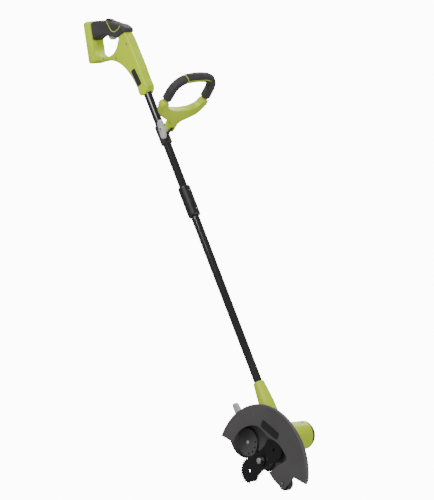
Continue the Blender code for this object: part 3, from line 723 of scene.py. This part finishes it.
class EDGER_OT_guard(bpy.types.Operator):
    """Finish the blade guard and put the blank label plate on its face."""

    bl_idname = "edger.guard"
    bl_label = "Blade Guard"

    def execute(self, context):
        refine("guard")
        turn = math.radians(-9)
        middle = in_head(0.0283, 0.031, 0.1125)
        right = in_head(0.0, math.cos(turn), math.sin(turn)) - BLADE_HUB
        up = in_head(0.0, -math.sin(turn), math.cos(turn)) - BLADE_HUB
        label = pad_mesh(
            "guard_label_plate", middle, right, up, 0.040, 0.0125, context.scene.edger_sizes.label_thickness
        )
        add_piece("guard_label_plate", label, "black_plastic", "boom")
        return {"FINISHED"}


class EDGER_OT_wheels(bpy.types.Operator):
    """Turn the rear wheel's tyre with its tread, and finish its hub and the front roller."""

    bl_idname = "edger.wheels"
    bl_label = "Wheels"

    def execute(self, context):
        sizes = context.scene.edger_sizes
        low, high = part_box("wheel_tyre")
        centre = ((low.x + high.x) / 2, (low.y + high.y) / 2, (low.z + high.z) / 2)
        half, radius = (high.x - low.x) / 2, (high.y - low.y) / 2
        inner = radius - 0.013
        side = np.linspace(-1, 1, 33)
        crown = np.stack([side * half, radius - 0.0035 * np.abs(side) ** 4 - 0.002 * np.abs(side) ** 16], -1)
        lip = np.array([(half * 0.97, radius - 0.010), (half * 0.90, inner), (-half * 0.90, inner)])
        tail = np.array([(-half * 0.97, radius - 0.010)])
        outline = np.vstack([crown, lip, tail])
        blocks = sizes.tread_blocks

        def tread(angle, along, distance):
            """Chevron grooves: a raised cosine of the blocks' angle, swept forwards towards both shoulders."""
            wave = np.cos(blocks * angle + 2.2 * np.abs(along) / half)
            groove = np.clip((wave - 0.55) * 4, 0, 1)
            rim = np.clip((distance - (radius - 0.006)) / 0.002, 0, 1)
            return sizes.tread_depth * groove * rim

        mesh = turned_mesh("wheel_tyre_skin", outline, centre, "X", blocks * 14, tread)
        add_piece("wheel_tyre_skin", mesh, "tyre_rubber", "rear_wheel", ("wheel_tyre",))
        refine("wheel_hub")
        refine("front_roller")
        return {"FINISHED"}


class EDGER_OT_depth_setting(bpy.types.Operator):
    """Finish the depth arm, its paddle and the index plate."""

    bl_idname = "edger.depth_setting"
    bl_label = "Depth Setting"

    def execute(self, context):
        refine("depth_arm")
        refine("depth_lever_grip")
        refine("depth_index_plate")
        return {"FINISHED"}


class EDGER_OT_stage(bpy.types.Operator):
    """Lay a plain pale floor and set the soft lights and the camera."""

    bl_idname = "edger.stage"
    bl_label = "Stage"

    def execute(self, context):
        stage = context.scene.edger_stage
        right = Vector((-0.7286, 0.5925, -0.3437)).normalized()
        toward = Vector((0.6820, 0.6742, -0.2835)).normalized()
        up = toward.cross(right).normalized()
        right = up.cross(toward).normalized()
        middle = Vector((0.11675, 0.21136, -0.83688))
        half = stage.floor_width / 2
        level = -stage.floor_drop
        mesh = bpy.data.meshes.new("floor")
        corners = [(-half, -half, level), (half, -half, level), (half, half, level), (-half, half, level)]
        mesh.from_pydata(corners, [], [(0, 1, 2, 3)])
        floor = bpy.data.objects.new("floor", mesh)
        context.scene.collection.objects.link(floor)
        paint = Finish("floor_paint")
        mottle = paint.noise(0.8, 2.0)
        tone = paint.blend(mottle, (0.86, 0.86, 0.86, 1.0), (0.90, 0.90, 0.90, 1.0))
        mesh.materials.append(
            paint.close(tone, 0.9, paint.bump(mottle, 0.02, 0.001), Emission_Color=tone, Emission_Strength=0.30)
        )
        world = context.scene.world or bpy.data.worlds.new("surroundings")
        context.scene.world = world
        world.use_nodes = True
        sky = NodeMaker(world.node_tree)
        white = (1.0, 1.0, 1.0, 1.0)
        glow = sky.node("ShaderNodeBackground", None, {"Color": white, "Strength": stage.sky})
        paper = sky.node("ShaderNodeBackground", None, {"Color": white, "Strength": stage.backdrop})
        seen = sky.node("ShaderNodeLightPath", output="Is Camera Ray")
        either = sky.node("ShaderNodeMixShader", None, {0: seen, 1: glow, 2: paper})
        sky.node("ShaderNodeOutputWorld", None, {"Surface": either})
        places = (
            ("key_light", toward * 2.2 + up * 3.0 - right * 2.0, stage.key_power, 2.0),
            ("fill_light", toward * 3.0 + up * 0.4 + right * 3.2, stage.fill_power, 2.6),
            ("rim_light", toward * -2.5 + up * 2.5 + right * 1.0, stage.fill_power, 2.0),
        )
        for name, offset, power, size in places:
            data = bpy.data.lights.new(name, "AREA")
            data.energy = power
            data.size = size
            light = bpy.data.objects.new(name, data)
            light.location = middle + offset
            light.rotation_euler = offset.to_track_quat("Z", "Y").to_euler()
            context.scene.collection.objects.link(light)
        data = bpy.data.cameras.new("camera")
        data.sensor_fit = "VERTICAL"
        data.sensor_height = SENSOR_HEIGHT
        data.lens = SENSOR_HEIGHT * stage.camera_distance / VIEW_HEIGHT
        data.clip_end = 500.0
        camera = bpy.data.objects.new("camera", data)
        turn = Matrix((right, up, toward)).transposed().to_4x4()
        camera.matrix_world = Matrix.Translation(middle + toward * stage.camera_distance) @ turn
        context.scene.collection.objects.link(camera)
        context.scene.camera = camera
        return {"FINISHED"}


class EDGER_PT_panel(bpy.types.Panel):
    """The list of the edger's operators in the sidebar."""

    bl_label = "Wheeled Lawn Edger"
    bl_idname = "EDGER_PT_panel"
    bl_space_type = "VIEW_3D"
    bl_region_type = "UI"
    bl_category = "Edger"

    def draw(self, context):
        for operator in OPERATORS:
            self.layout.operator(operator.bl_idname)
        for group in (context.scene.edger_colours, context.scene.edger_sizes, context.scene.edger_stage):
            for name in group.__annotations__:
                self.layout.prop(group, name)


GROUPS = {"edger_colours": EdgerColours, "edger_sizes": EdgerSizes, "edger_stage": EdgerStage}
OPERATORS = (
    EDGER_OT_stage,
    EDGER_OT_finishes,
    EDGER_OT_boom,
    EDGER_OT_rear_handle,
    EDGER_OT_front_handle,
    EDGER_OT_cutting_head,
    EDGER_OT_guard,
    EDGER_OT_wheels,
    EDGER_OT_depth_setting,
)


def register():
    for name, group in GROUPS.items():
        bpy.utils.register_class(group)
        setattr(bpy.types.Scene, name, PointerProperty(type=group))
    for operator in OPERATORS:
        bpy.utils.register_class(operator)
    bpy.utils.register_class(EDGER_PT_panel)


def unregister():
    bpy.utils.unregister_class(EDGER_PT_panel)
    for operator in reversed(OPERATORS):
        bpy.utils.unregister_class(operator)
    for name, group in GROUPS.items():
        delattr(bpy.types.Scene, name)
        bpy.utils.unregister_class(group)


def main():
    """Makes every piece in turn."""
    register()
    for operator in OPERATORS:
        group, name = operator.bl_idname.split(".")
        getattr(getattr(bpy.ops, group), name)()


if __name__ == "__main__":
    main()
